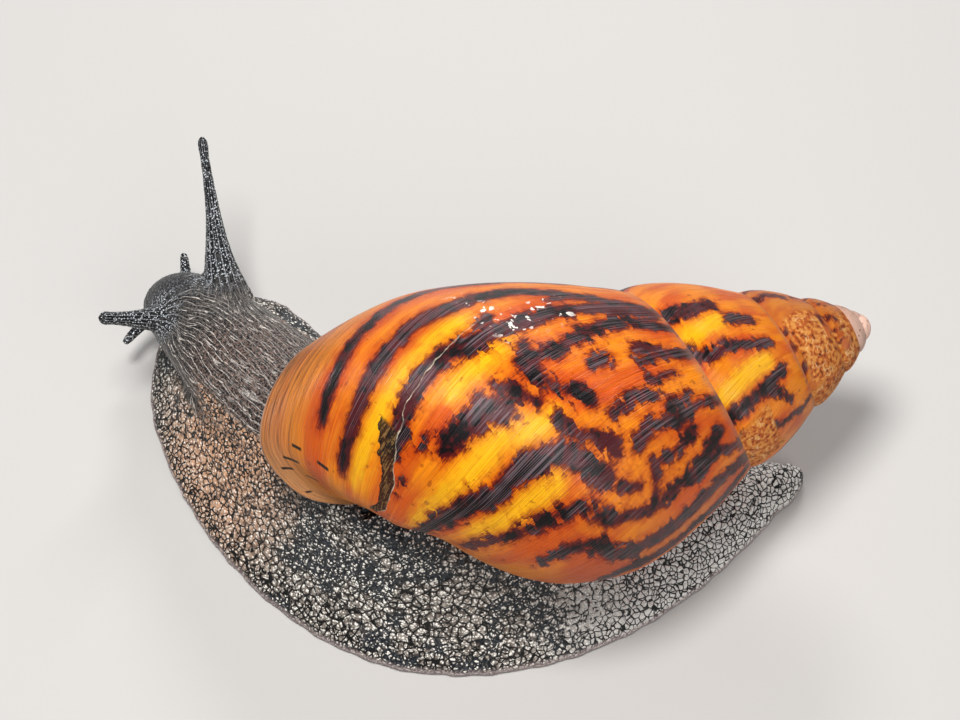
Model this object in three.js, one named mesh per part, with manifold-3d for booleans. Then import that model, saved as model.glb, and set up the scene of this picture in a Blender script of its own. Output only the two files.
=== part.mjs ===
// A giant tiger land snail, Achatina achatina, life size, crawling and turning to its right.
// Millimetres, +Z up, the sole at Z = 0. The head is towards -X and +Y, the apex of the shell towards +X.
// The animal's left side faces -Y. The body is lofted whole, then parted into its named lengths.
import * as THREE from "three";
import { mergeVertices } from "three/addons/utils/BufferGeometryUtils.js";
import Module from "manifold-3d";

const wasm = await Module();
wasm.setup();

const GAP = 0.3; // left between neighbouring solids at a flat cut
const CLEAR = 0.5; // left around the shell, whose facets and its neighbours' differ a little
const degrees = THREE.MathUtils.degToRad;
const { lerp, clamp, smoothstep } = THREE.MathUtils;

// ---------------------------------------------------------------- driving dimensions

const SHELL = {
  wall: 2.2, // at the lip
  whorls: 5.2, // below the dome of the first whorl
  axialGrowth: 2.09, // each whorl is this many times as tall as the one before
  radialGrowth: 1.583, // and this many times as wide
  apex: new THREE.Vector3(104.7, -20.9, 52.9), // where the whorls would close on the axis
  bearing: 21, // of the apex, seen from the base, counter-clockwise from +X
  droop: -3.4, // of the apex below the base
  lipDrop: 8, // of the outer lip below the level of the axis
  basalLag: 40.8, // how far the base of a growth line trails its top, in degrees round the axis
  tipStretch: 6, // how far the first whorls stand out beyond their even growth
  tipReach: 18, // and how quickly that dies away with depth
  domeRadius: 4.5,
};

// The whorl's section at the lip as [radius, depth below the apex]: suture, outer wall, base, columella, inner side.
const WHORL = [
  [32.6, 62.3], [40.3, 75.8], [46.6, 90.9], [51.2, 106], [53.6, 121], [51.9, 135.4], [47, 149.6], [38, 161],
  [27, 167.2], [16, 165], [6.5, 158.5], [1.5, 149], [0.8, 132.6], [0.8, 108.9], [1.5, 83.3], [9.3, 70], [20.5, 60.6],
];

// The pillar that the whorls wind about, from the spire down to its cut-off end: [radius, depth below the apex].
const COLUMELLA = [
  [0, -4.5], [4.2, -1.7], [7.4, 2.7], [12, 11.6], [18, 28.7], [15, 50], [10, 76], [6, 105], [4, 130], [1.6, 147], [0, 147.3],
];

// The foot's middle line from the tip of the tail to the front edge: [x, y], half width, height of the
// flanks above the thin edge, and how much further the back rises to carry the shell.
const FOOT = [
  { at: [95.5, -40.5], half: 2, flank: 3, rise: 0 },
  { at: [91, -42], half: 6.5, flank: 6, rise: 0 },
  { at: [82, -46], half: 9.5, flank: 9, rise: 0 },
  { at: [69, -53], half: 15, flank: 11.5, rise: 0 },
  { at: [53, -60], half: 21.5, flank: 13.5, rise: 0 },
  { at: [32, -66], half: 29, flank: 16, rise: 2 },
  { at: [7, -69], half: 34.5, flank: 19, rise: 12 },
  { at: [-20, -66], half: 36.5, flank: 21, rise: 27 },
  { at: [-47, -45], half: 36, flank: 21, rise: 24 },
  { at: [-67, -18], half: 32, flank: 18, rise: 12 },
  { at: [-77, 2], half: 26, flank: 11.5, rise: 2 },
  { at: [-82.5, 11.5], half: 19, flank: 9, rise: 0 },
  { at: [-85.5, 17], half: 11.5, flank: 6, rise: 0 },
  { at: [-87, 20], half: 3.5, flank: 3, rise: 0 },
];
const RIM = 1.6; // thickness of the foot's edge

// The neck and head from inside the shell to the lips: centre, half width, half height.
const NECK = [
  { at: [-34, -50, 38], half: 20, tall: 16 },
  { at: [-53, -35, 33.5], half: 19.5, tall: 15 },
  { at: [-66, -21.5, 30], half: 18.5, tall: 14 },
  { at: [-75, -11, 28], half: 16.5, tall: 12.5 },
  { at: [-82, -3, 26.5], half: 14.5, tall: 11.8 },
  { at: [-87, 3, 24], half: 12.8, tall: 11 },
  { at: [-91.3, 8, 20.5], half: 10.8, tall: 9 },
  { at: [-94.3, 11.6, 16.5], half: 8, tall: 6.5 },
  { at: [-95.8, 13.4, 14.2], half: 3.5, tall: 2.8 },
];

// The tentacles from inside the head to their tips: centre and half width. Each is its own solid beyond
// the station named by its root.
const TENTACLES = [
  {
    name: "upper_tentacle_right",
    root: 2,
    eye: 1.05,
    stations: [
      { at: [-71, -6, 24], half: 9.5 },
      { at: [-74.5, 4, 27], half: 8 },
      { at: [-76.6, 11.5, 30], half: 6 },
      { at: [-78, 18.5, 33.7], half: 4 },
      { at: [-79.3, 27, 38.5], half: 2.5 },
      { at: [-80.8, 36, 44], half: 1.7 },
      { at: [-82, 42.5, 48], half: 1.45 },
      { at: [-82.4, 45.2, 49.6], half: 1.75 },
      { at: [-82.7, 46.8, 50.6], half: 1.3 },
    ],
  },
  {
    name: "upper_tentacle_left",
    root: 2,
    eye: 1.05,
    stations: [
      { at: [-84, 0, 24], half: 7 },
      { at: [-90.5, -2, 27.5], half: 5.8 },
      { at: [-95.5, -4, 31], half: 4.1 },
      { at: [-99.5, -5.8, 34], half: 3 },
      { at: [-103.5, -7.6, 37.2], half: 2.3 },
      { at: [-106.8, -9, 39.8], half: 2 },
      { at: [-108.5, -9.8, 41.2], half: 2.15 },
      { at: [-109.6, -10.3, 42], half: 1.5 },
    ],
  },
  {
    name: "lower_tentacle_right",
    root: 1,
    stations: [
      { at: [-89, 15, 15.5], half: 2.6 },
      { at: [-89.6, 20.5, 14.5], half: 2.1 },
      { at: [-90.2, 25, 14.5], half: 1.6 },
      { at: [-90.7, 28, 15], half: 1.35 },
      { at: [-90.9, 29, 15.2], half: 0.8 },
    ],
  },
  {
    name: "lower_tentacle_left",
    root: 1,
    stations: [
      { at: [-97, 9, 15.5], half: 2.6 },
      { at: [-101.5, 5, 14], half: 2.1 },
      { at: [-104.5, 1.5, 13.3], half: 1.6 },
      { at: [-106.4, -1, 13.2], half: 1.35 },
      { at: [-107, -1.8, 13.3], half: 0.8 },
    ],
  },
];

// ---------------------------------------------------------------- solids from lofted sections

// A solid from a closed geometry, turned so that its faces point outward.
function solidOf(geometry) {
  const plain = geometry.clone();
  plain.deleteAttribute("normal");
  plain.deleteAttribute("uv");
  const merged = mergeVertices(plain, 1e-4);
  const vertProperties = new Float32Array(merged.getAttribute("position").array);
  const make = (triVerts) => new wasm.Manifold(new wasm.Mesh({ numProp: 3, vertProperties, triVerts }));
  const solid = make(new Uint32Array(merged.index.array));
  return solid.volume() > 0 ? solid : make(new Uint32Array(merged.index.array).reverse());
}

// A closed skin over sections, each a ring of as many points. The ends are closed by fans from their middles.
function loft(sections) {
  const around = sections[0].length;
  const along = sections.length - 1;
  const middles = sections.map((ring) =>
    ring.reduce((sum, point) => sum.add(point), new THREE.Vector3()).divideScalar(around),
  );
  const geometry = new THREE.CylinderGeometry(1, 1, along, around, along);
  const position = geometry.getAttribute("position");
  for (let i = 0; i < position.count; i++) {
    const [x, y, z] = [position.getX(i), position.getY(i), position.getZ(i)];
    const row = Math.round(along / 2 - y);
    const column = Math.round((Math.atan2(x, z) / (2 * Math.PI)) * around + around) % around;
    const point = Math.hypot(x, z) < 0.5 ? middles[row] : sections[row][column];
    position.setXYZ(i, point.x, point.y, point.z);
  }
  return solidOf(geometry);
}

const union = (solids) => solids.reduce((sum, solid) => sum.add(solid));

// A smooth value between stations spread evenly over 0 to 1.
function between(stations, pick, t) {
  const values = stations.map((station) => new THREE.Vector3(pick(station), 0, 0));
  return new THREE.CatmullRomCurve3(values, false, "catmullrom", 0.5).getPoint(t).x;
}

// ---------------------------------------------------------------- shell

const base = new THREE.Vector3(
  -Math.cos(degrees(SHELL.bearing)) * Math.cos(degrees(SHELL.droop)),
  -Math.sin(degrees(SHELL.bearing)) * Math.cos(degrees(SHELL.droop)),
  Math.sin(degrees(SHELL.droop)),
);
const level = new THREE.Vector3(0, 0, 1).cross(base).negate().normalize(); // to the animal's right
const up = new THREE.Vector3().crossVectors(level, base).normalize();

const WHORL_TOP = WHORL[0][1];
const WHORL_FOOT = Math.max(...WHORL.map(([, depth]) => depth));
const LUMEN = new THREE.Vector2(25, 115); // middle of the whorl's section

// The whorl's section as evenly spaced points, moved out by grow.
function whorlSection(count, grow) {
  const corners = WHORL.map(([radius, depth]) => new THREE.Vector3(radius, depth, 0));
  const outline = new THREE.CatmullRomCurve3(corners, true, "catmullrom", 0.5);
  return outline.getSpacedPoints(count).slice(0, count).map((point) => {
    const offset = new THREE.Vector2(point.x, point.y).sub(LUMEN);
    offset.setLength(offset.length() + grow);
    return offset.add(LUMEN);
  });
}

// A point of the section, that many degrees of growth before the lip.
function onShell(point, before, grow = 0) {
  const turns = before / 360;
  const radius = point.x * SHELL.radialGrowth ** -turns;
  const evenDepth = point.y * SHELL.axialGrowth ** -turns;
  const depth = evenDepth - SHELL.tipStretch * Math.exp(-evenDepth / SHELL.tipReach);
  const lag = SHELL.basalLag * clamp((point.y - WHORL_TOP) / (WHORL_FOOT - WHORL_TOP), 0, 1) ** 2;
  const turn = degrees(SHELL.lipDrop - before - lag);
  return SHELL.apex.clone()
    .addScaledVector(base, depth)
    .addScaledVector(level, Math.max(radius, 0.05) * Math.cos(turn))
    .addScaledVector(up, -Math.max(radius, 0.05) * Math.sin(turn));
}

// A closed length of the whorl's tube, between two growth angles before the lip.
function tube(from, to, step, count, grow) {
  const rings = Math.max(1, Math.round((from - to) / step));
  return loft(
    Array.from({ length: rings + 1 }, (_, i) => {
      const before = lerp(from, to, i / rings);
      const scaled = grow * SHELL.radialGrowth ** (before / 360);
      return whorlSection(count, scaled).map((point) => onShell(point, before));
    }),
  );
}

// A long tube in lengths short enough not to run into themselves, each sharing a step with the next.
function coil(from, to, step, count, grow) {
  const lengths = [];
  for (let start = from; start > to; start -= 180) {
    lengths.push(tube(start, Math.max(start - 180 - step, to), step, count, grow));
  }
  return union(lengths);
}

// A round solid on the shell's axis from [radius, depth] points.
function onAxis(profile, segments) {
  const lathe = new THREE.LatheGeometry(profile.map(([r, d]) => new THREE.Vector2(r, d)), segments);
  lathe.applyMatrix4(new THREE.Matrix4().makeBasis(level, base, up.clone().negate()).setPosition(SHELL.apex));
  return solidOf(lathe);
}

function spireOf(grow) {
  const dome = SHELL.domeRadius + grow;
  const arc = Array.from({ length: 8 }, (_, i) => [
    Math.sin((i / 7) * Math.PI) * dome,
    SHELL.domeRadius - SHELL.tipStretch - Math.cos((i / 7) * Math.PI) * dome,
  ]);
  const pillar = COLUMELLA.map(([radius, depth], i) => [
    radius > 0 ? radius + grow : 0,
    depth + (i > COLUMELLA.length - 3 ? grow * 1.5 : 0),
  ]);
  return union([
    onAxis(arc, 12),
    onAxis(pillar, 12),
    coil(SHELL.whorls * 360, 3 * 360, 24, 14, grow),
    coil(3 * 360, 345, 22.5, 17, grow),
    coil(360, 225, 15, 27, grow),
  ]);
}

// A whorl's tube up to the lip, and on past it by some degrees of growth.
const lastWhorl = (past, grow) => {
  const made = coil(240, 0, 12, 29, grow);
  return past > 0 ? made.add(tube(12, -past, 20, 29, grow)) : made;
};
const lumen = (deep, past, grow) =>
  tube(deep, 0, 11, 20, grow - SHELL.wall).add(tube(11, -past, 20, 20, grow - SHELL.wall));

const earlier = spireOf(0);
const earlierGrown = spireOf(CLEAR);
const shell = lastWhorl(0, 0).subtract(lumen(55, 8, 0)).add(earlier);
const shellSpace = lastWhorl(0.8, CLEAR).add(earlierGrown);

// The mantle's collar lines the mouth of the shell and swells a little past its lip.
const collarPast = 1; // degrees of growth beyond the lip
const collar = lumen(44, collarPast, -2 * CLEAR).subtract(earlierGrown);
const collarSpace = lumen(44, collarPast + 0.6, GAP).subtract(earlier);

// ---------------------------------------------------------------- foot

const footLine = new THREE.CatmullRomCurve3(
  FOOT.map(({ at }) => new THREE.Vector3(...at, 0)),
  false,
  "catmullrom",
  0.5,
);

// The foot's section: a flat sole, a thin edge, convex flanks and a back that rises under the shell.
function footSection(t, count) {
  const middle = footLine.getPoint(t);
  const ahead = footLine.getTangent(t);
  const aside = new THREE.Vector3(-ahead.y, ahead.x, 0);
  const half = Math.max(between(FOOT, (s) => s.half, t), 1);
  const flank = between(FOOT, (s) => s.flank, t);
  const rise = Math.max(between(FOOT, (s) => s.rise, t), 0);
  const upper = Array.from({ length: count }, (_, i) => {
    const side = Math.cos((i / (count - 1)) * Math.PI);
    const away = Math.abs(side);
    const height = flank * (1 - away ** 2.1) ** 0.9 + rise * (1 - smoothstep(away, 0.3, 0.85));
    return middle.clone().addScaledVector(aside, half * side).setZ(RIM + height);
  });
  const lower = [-0.985, -0.45, 0.45, 0.985].map((side) =>
    middle.clone().addScaledVector(aside, half * side).setZ(0),
  );
  return [...upper, ...lower];
}

const FOOT_STEPS = 34;
const foot = loft(Array.from({ length: FOOT_STEPS + 1 }, (_, i) => footSection(i / FOOT_STEPS, 15)));

// ---------------------------------------------------------------- neck, head and tentacles

// A round-bodied loft along a route of stations, with its sections square to the route.
function limb(stations, steps, count) {
  const centres = stations.map(({ at }) => new THREE.Vector3(...at));
  const line = new THREE.CatmullRomCurve3(centres, false, "catmullrom", 0.5);
  return loft(
    Array.from({ length: steps + 1 }, (_, i) => {
      const t = i / steps;
      const middle = line.getPoint(t);
      const ahead = line.getTangent(t);
      const aside = new THREE.Vector3(-ahead.y, ahead.x, 0).normalize();
      const above = new THREE.Vector3().crossVectors(ahead, aside);
      const half = between(stations, (s) => s.half, t);
      const tall = between(stations, (s) => s.tall ?? s.half, t);
      return Array.from({ length: count }, (_, j) => {
        const turn = (j / count) * 2 * Math.PI;
        return middle.clone()
          .addScaledVector(aside, Math.cos(turn) * half)
          .addScaledVector(above, Math.sin(turn) * tall);
      });
    }),
  );
}

// Everything on the far side of a flat cut through a point, looking along a direction.
function beyond(point, direction, back = 0) {
  const block = new THREE.BoxGeometry(600, 600, 600).translate(0, 0, 300 - back);
  block.applyQuaternion(new THREE.Quaternion().setFromUnitVectors(new THREE.Vector3(0, 0, 1), direction));
  return solidOf(block.translate(point.x, point.y, point.z));
}

const fleshPieces = [];
let flesh = foot.add(limb(NECK, 16, 18));

for (const { name, root, eye, stations } of TENTACLES) {
  const centres = stations.map(({ at }) => new THREE.Vector3(...at));
  const line = new THREE.CatmullRomCurve3(centres, false, "catmullrom", 0.5);
  const direction = line.getTangent(root / (stations.length - 1));
  const steps = Math.round((stations.length - 1) * 1.5);
  const stem = limb(stations, steps, 9);
  const room = limb(stations.map(({ at, half }) => ({ at, half: half + GAP })), steps, 9);
  const outer = beyond(centres[root], direction, GAP / 2);
  let free = stem.intersect(beyond(centres[root], direction, -GAP / 2));
  flesh = flesh.add(stem.subtract(outer)).subtract(room.intersect(outer));
  if (eye) {
    const tip = centres.at(-1);
    const ahead = line.getTangent(1);
    const ball = (radius) => {
      const sphere = new THREE.SphereGeometry(radius, 8, 6);
      const at = tip.clone().addScaledVector(ahead, -0.45);
      return solidOf(sphere.translate(at.x, at.y, at.z));
    };
    free = free.subtract(ball(eye + GAP));
    fleshPieces.push([name.replace("upper_tentacle", "eye"), ball(eye), "EYE"]);
  }
  fleshPieces.push([name, free, "SKIN"]);
}

flesh = flesh.subtract(shellSpace).subtract(collarSpace);

// ---------------------------------------------------------------- the flesh parted into its lengths

// Flat cuts across the body: where, and which way the head lies from there.
const TAIL_CUT = [new THREE.Vector3(38, -64, 0), new THREE.Vector3(-1, -0.2, 0).normalize()];
const FRONT_CUT = [new THREE.Vector3(-50, -42, 0), new THREE.Vector3(-0.62, 0.78, 0).normalize()];
const HEAD_CUT = [new THREE.Vector3(-82, -2.5, 0), new THREE.Vector3(-0.65, 0.76, 0).normalize()];
const NECK_CUT = [new THREE.Vector3(-82, -2.5, 13), new THREE.Vector3(-0.09, 0.11, 1).normalize()];

const after = ([point, way]) => beyond(point, way, GAP / 2);
const ahead = ([point, way]) => beyond(point, way, -GAP / 2);

const rest = flesh.intersect(ahead(TAIL_CUT));
const front = rest.intersect(ahead(FRONT_CUT));
const upper = front.intersect(ahead(NECK_CUT));
fleshPieces.push(["foot_tail", flesh.subtract(after(TAIL_CUT)), "SKIN"]);
fleshPieces.push(["foot_middle", rest.subtract(after(FRONT_CUT)), "SKIN"]);
fleshPieces.push(["foot_front", front.subtract(after(NECK_CUT)), "SKIN"]);
fleshPieces.push(["neck", upper.subtract(after(HEAD_CUT)), "SKIN"]);
fleshPieces.push(["head", upper.intersect(ahead(HEAD_CUT)), "SKIN"]);

// ---------------------------------------------------------------- the part

const material = (color, roughness) => new THREE.MeshStandardMaterial({ color, roughness, metalness: 0 });
const SKIN = material(0x4a443f, 0.45);
const HORN = material(0xc2600f, 0.3);
const MANTLE = material(0x8c7f70, 0.5);
const EYE = material(0x0a0a0c, 0.2);

const snail = new THREE.Group();

function add(name, solid, finish) {
  const made = solid.getMesh();
  const geometry = new THREE.BufferGeometry();
  const points = new Float32Array(made.numVert * 3);
  for (let i = 0; i < made.numVert; i++) {
    points.set(made.vertProperties.subarray(i * made.numProp, i * made.numProp + 3), i * 3);
  }
  geometry.setAttribute("position", new THREE.BufferAttribute(points, 3));
  geometry.setIndex(new THREE.BufferAttribute(made.triVerts, 1));
  geometry.computeVertexNormals();
  const mesh = new THREE.Mesh(geometry, finish);
  mesh.name = name;
  snail.add(mesh);
}

add("shell", shell, HORN);
add("mantle_collar", collar, MANTLE);
for (const [name, solid, finish] of fleshPieces) {
  add(name, solid, finish === "EYE" ? EYE : SKIN);
}

// The middle of the whole is set over the origin; the sole is at Z = 0 already.
const middle = new THREE.Box3().setFromObject(snail).getCenter(new THREE.Vector3());
for (const mesh of snail.children) {
  mesh.geometry.translate(-middle.x, -middle.y, 0);
}

export default snail;
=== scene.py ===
import math
import random
import bmesh
import bpy
import numpy as np
from mathutils import Matrix, Vector


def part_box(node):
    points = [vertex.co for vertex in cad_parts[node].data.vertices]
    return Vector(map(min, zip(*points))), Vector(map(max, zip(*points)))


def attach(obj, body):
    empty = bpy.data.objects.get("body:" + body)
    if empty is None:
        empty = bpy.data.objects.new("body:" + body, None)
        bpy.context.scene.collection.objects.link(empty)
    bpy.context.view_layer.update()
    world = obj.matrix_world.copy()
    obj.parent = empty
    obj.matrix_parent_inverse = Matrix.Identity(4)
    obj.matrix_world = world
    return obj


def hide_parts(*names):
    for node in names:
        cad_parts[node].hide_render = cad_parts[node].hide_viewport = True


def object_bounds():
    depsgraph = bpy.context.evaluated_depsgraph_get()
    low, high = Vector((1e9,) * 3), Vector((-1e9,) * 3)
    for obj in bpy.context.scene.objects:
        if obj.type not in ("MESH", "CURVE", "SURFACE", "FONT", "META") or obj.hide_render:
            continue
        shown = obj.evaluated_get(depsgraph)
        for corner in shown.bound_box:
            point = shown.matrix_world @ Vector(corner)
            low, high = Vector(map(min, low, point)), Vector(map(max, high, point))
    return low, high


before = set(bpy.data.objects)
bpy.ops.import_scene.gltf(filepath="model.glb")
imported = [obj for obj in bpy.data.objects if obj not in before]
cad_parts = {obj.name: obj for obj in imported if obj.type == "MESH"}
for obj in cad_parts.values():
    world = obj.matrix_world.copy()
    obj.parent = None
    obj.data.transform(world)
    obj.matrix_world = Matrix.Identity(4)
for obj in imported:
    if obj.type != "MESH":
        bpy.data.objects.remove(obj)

cad_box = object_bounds()

# ---- Camera: a long lens above the animal's left side, looking down and across the shell at sixty degrees.
# ---- It stands far enough off for the shell to keep its true proportions.
SENSOR_WIDTH = 36  # mm
DISTANCE = 0.75  # from the lens to the middle of the animal
WIDTH_IN_VIEW = 0.293578  # across the frame, at that distance
TILT = math.radians(60)
LOOKED_AT = Vector((0, 0.02866, 0))
scene = bpy.context.scene
lens = bpy.data.cameras.new("camera")
lens.sensor_width = SENSOR_WIDTH
lens.lens = SENSOR_WIDTH * DISTANCE / WIDTH_IN_VIEW
camera = bpy.data.objects.new("camera", lens)
scene.collection.objects.link(camera)
looking_back = Vector((0, -math.cos(TILT), math.sin(TILT)))
camera.location = LOOKED_AT + looking_back * DISTANCE
camera.rotation_euler = looking_back.to_track_quat("Z", "Y").to_euler()
scene.camera = camera


# ---- Shell: one coiled tube of thin horn-coated lime, five whorls, each growing from the one before.
# ---- It is made as it grows, but backwards: the lip's outline is extruded a few degrees of growth at a time,
# ---- turning and shrinking by the same factors, as far as the tip.
APEX = Vector((0.104694, 0.007761, 0.0529))
BEARING, DROOP = math.radians(21), math.radians(-3.4)
down_axis = Vector((
    -math.cos(BEARING) * math.cos(DROOP),
    -math.sin(BEARING) * math.cos(DROOP),
    math.sin(DROOP),
))
rightward = -Vector((0, 0, 1)).cross(down_axis).normalized()
upward = rightward.cross(down_axis).normalized()
WHORLS = 5.2
RADIAL_GROWTH, AXIAL_GROWTH = 1.583, 2.09  # in one whorl
LIP_DROP, BASAL_LAG = 8, 40.8  # degrees: where the lip starts, and how far its base trails behind
TIP_STRETCH, TIP_REACH = 0.006, 0.018

# The whorl's outline at the lip in millimetres: distance from the axis, depth below the apex.
WHORL = [
    (32.6, 62.3), (40.3, 75.8), (46.6, 90.9), (51.2, 106), (53.6, 121), (51.9, 135.4), (47, 149.6),
    (38, 161), (27, 167.2), (16, 165), (6.5, 158.5), (1.5, 149), (0.8, 132.6), (0.8, 108.9), (1.5, 83.3),
    (9.3, 70), (20.5, 60.6),
]
SUTURE_DEPTH, FOOT_DEPTH = WHORL[0][1], WHORL[8][1]
MIDDLE = Vector((25, 115))  # of the outline
BASE_CORNER = 10  # the inner end of the base, where the outline turns up along the pillar
CORNER_STEPS = 60
OUTER_POINTS, INNER_POINTS = 104, 28


def smooth_outline(corners, steps):
    # Points of the smooth closed curve through the corners, with as many steps from each to the next.
    corners = np.array(corners, float)
    count = len(corners)
    where = np.arange(count * steps) / steps
    first = where.astype(int)
    t = (where - first)[:, None]
    a, b, c, d = (corners[(first + shift) % count] for shift in (-1, 0, 1, 2))
    return 0.5 * (2 * b + (c - a) * t + (2 * a - 5 * b + 4 * c - d) * t**2 + (3 * b - a - 3 * c + d) * t**3)


curve = smooth_outline(WHORL, CORNER_STEPS)
run = np.concatenate([[0], np.cumsum(np.linalg.norm(np.diff(curve, axis=0), axis=1))])
OUTER_RUN = run[BASE_CORNER * CORNER_STEPS]  # from the suture to the inner end of the base, mm
outer_spots = np.linspace(0, OUTER_RUN, OUTER_POINTS, endpoint=False)
inner_share = np.linspace(0, 1, INNER_POINTS, endpoint=False) ** 1.6
spots = np.concatenate([outer_spots, OUTER_RUN + (run[-1] - OUTER_RUN) * inner_share])
lip_outline = np.stack([np.interp(spots, run, curve[:, axis]) for axis in (0, 1)], 1)
lip_across = spots / OUTER_RUN


def lip_point(radius, depth):
    # A point of the lip in the shell's own frame: x to the animal's right, y up, z down the axis, metres.
    lag = BASAL_LAG * min(max((depth - SUTURE_DEPTH) / (FOOT_DEPTH - SUTURE_DEPTH), 0), 1) ** 2
    turn = math.radians(LIP_DROP - lag)
    return Vector((radius * math.cos(turn), -radius * math.sin(turn), depth)) / 1000


def back_in_growth(angle):
    # Carries a point back to the same place on the whorl, that many degrees of growth earlier.
    turns = angle / 360
    shrink = Matrix.Diagonal((RADIAL_GROWTH**-turns,) * 2 + (AXIAL_GROWTH**-turns, 1))
    return Matrix.Rotation(math.radians(angle), 4, "Z") @ shrink


# Two numbers stay on every point, and the markings are laid out on them: degrees of growth before the lip,
# and the place across the whorl from its suture, 0, to the inner end of its base, 1.
shell = bmesh.new()
growth = shell.verts.layers.float.new("growth")
across = shell.verts.layers.float.new("across")
bmesh.ops.create_circle(shell, segments=len(spots), radius=0.05)
shell.verts.ensure_lookup_table()
shell.verts.index_update()
for vertex, (radius, depth), fraction in zip(shell.verts, lip_outline, lip_across):
    vertex.co = lip_point(radius, depth)
    vertex[across] = fraction
lip = list(shell.edges)
edge_of_growth = lip
# Degrees of growth from ring to ring, and the age up to which each step serves.
RING_STEPS = [(190, 1.6), (560, 2.6), (1100, 5.2), (math.inf, 9)]
before = 0.0
while before < WHORLS * 360:
    step = next(degrees for age, degrees in RING_STEPS if before < age)
    grown = bmesh.ops.extrude_edge_only(shell, edges=edge_of_growth)["geom"]
    fresh = [part for part in grown if isinstance(part, bmesh.types.BMVert)]
    edge_of_growth = [part for part in grown if isinstance(part, bmesh.types.BMEdge)]
    before += step
    bmesh.ops.transform(shell, matrix=back_in_growth(step), verts=fresh)
    for vertex in fresh:
        vertex[growth] = before
bmesh.ops.contextual_create(shell, geom=edge_of_growth)

# The lip's rounded edge and the wall inside the mouth: degrees of growth, thickness in millimetres.
LINING = [
    (-0.12, 0.25), (-0.12, 0.6), (0.5, 0.95), (3, 1.4), (8, 1.8), (15, 2.1), (24, 2.2), (34, 2.2), (44, 2.2),
    (54, 2.2),
]
edge_of_growth = lip
for angle, thickness in LINING:
    grown = bmesh.ops.extrude_edge_only(shell, edges=edge_of_growth)["geom"]
    edge_of_growth = [part for part in grown if isinstance(part, bmesh.types.BMEdge)]
    for vertex in (part for part in grown if isinstance(part, bmesh.types.BMVert)):
        column = int(np.argmin(np.abs(lip_across - vertex[across])))
        from_middle = Vector(lip_outline[column]) - MIDDLE
        inside = MIDDLE + from_middle * (1 - thickness / from_middle.length)
        vertex.co = back_in_growth(angle) @ lip_point(*inside)
        vertex[growth] = -max(angle, 0) - 1
bmesh.ops.contextual_create(shell, geom=edge_of_growth)

# The first whorls stand out a little beyond their even growth.
for vertex in shell.verts:
    vertex.co.z -= TIP_STRETCH * math.exp(-vertex.co.z / TIP_REACH)

# The rounded first whorl at the apex, and the pillar that the whorls wind about, which is turned from its
# half section: radius and depth in millimetres.
TIP_RADIUS, TIP_RISE = 0.0044, 0.0016
PILLAR = [(0, 2), (12, 14), (17.5, 28.7), (15, 50), (10, 76), (6, 105), (4, 128), (1.6, 136), (0, 137)]
coiled = len(shell.verts)
dome = bmesh.ops.create_uvsphere(shell, u_segments=40, v_segments=24, radius=TIP_RADIUS)["verts"]
bmesh.ops.translate(shell, verts=dome, vec=(0, 0, -TIP_RISE))
profile = [shell.verts.new((radius / 1000, 0, depth / 1000)) for radius, depth in PILLAR]
sides = [shell.edges.new(pair) for pair in zip(profile, profile[1:])]
bmesh.ops.spin(
    shell, geom=profile + sides, cent=(0, 0, 0), axis=(0, 0, 1), angle=math.tau, steps=32, use_merge=True,
    use_duplicate=False,
)
shell.verts.ensure_lookup_table()
for vertex in shell.verts[coiled:]:
    vertex[growth] = 230  # a plain stretch between flames
    vertex[across] = 1.0
for vertex in dome:
    vertex[growth] = WHORLS * 360
    vertex[across] = 0.4
bmesh.ops.remove_doubles(shell, verts=shell.verts, dist=1e-6)

# From the shell's own frame to its place on the animal's back.
to_place = Matrix.Translation(APEX) @ Matrix((rightward, upward, down_axis)).transposed().to_4x4()
bmesh.ops.transform(shell, matrix=to_place, verts=shell.verts)


def ease(low, high, values):
    # 0 up to low, 1 from high on, smooth between; low may be the larger, which turns it over.
    t = np.clip((values - low) / (high - low), 0, 1)
    return t * t * (3 - 2 * t)


# The base of the newest growth hangs lower than even growth gives and closes the gap beside the pillar,
# while the lip's own foot is nearly straight. What would pass the solid's own size is drawn in.
HANG, FOOT_HANG, FOOT_LIFT = 0.0052, 0.003, 0.0013
hanging = Vector((0, -0.866, -0.5))
for vertex in shell.verts:
    age_here, level = abs(vertex[growth]), vertex[across]
    base = ease(8, 62, age_here) * ease(126, 84, age_here) * ease(0.74, 0.88, level) * ease(1.36, 1.1, level)
    foot = ease(62, 8, age_here) * ease(1.05, 1.15, level) * ease(1.45, 1.22, level)
    lifted = ease(36, 4, age_here) * ease(0.95, 1.05, level) * ease(1.14, 1.07, level)
    vertex.co += hanging * float(HANG * base + FOOT_HANG * foot - FOOT_LIFT * lifted)
    vertex.co.x = min(vertex.co.x, cad_box[1].x)
    vertex.co.z = min(vertex.co.z, cad_box[1].z)
bmesh.ops.recalc_face_normals(shell, faces=shell.faces)

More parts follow.
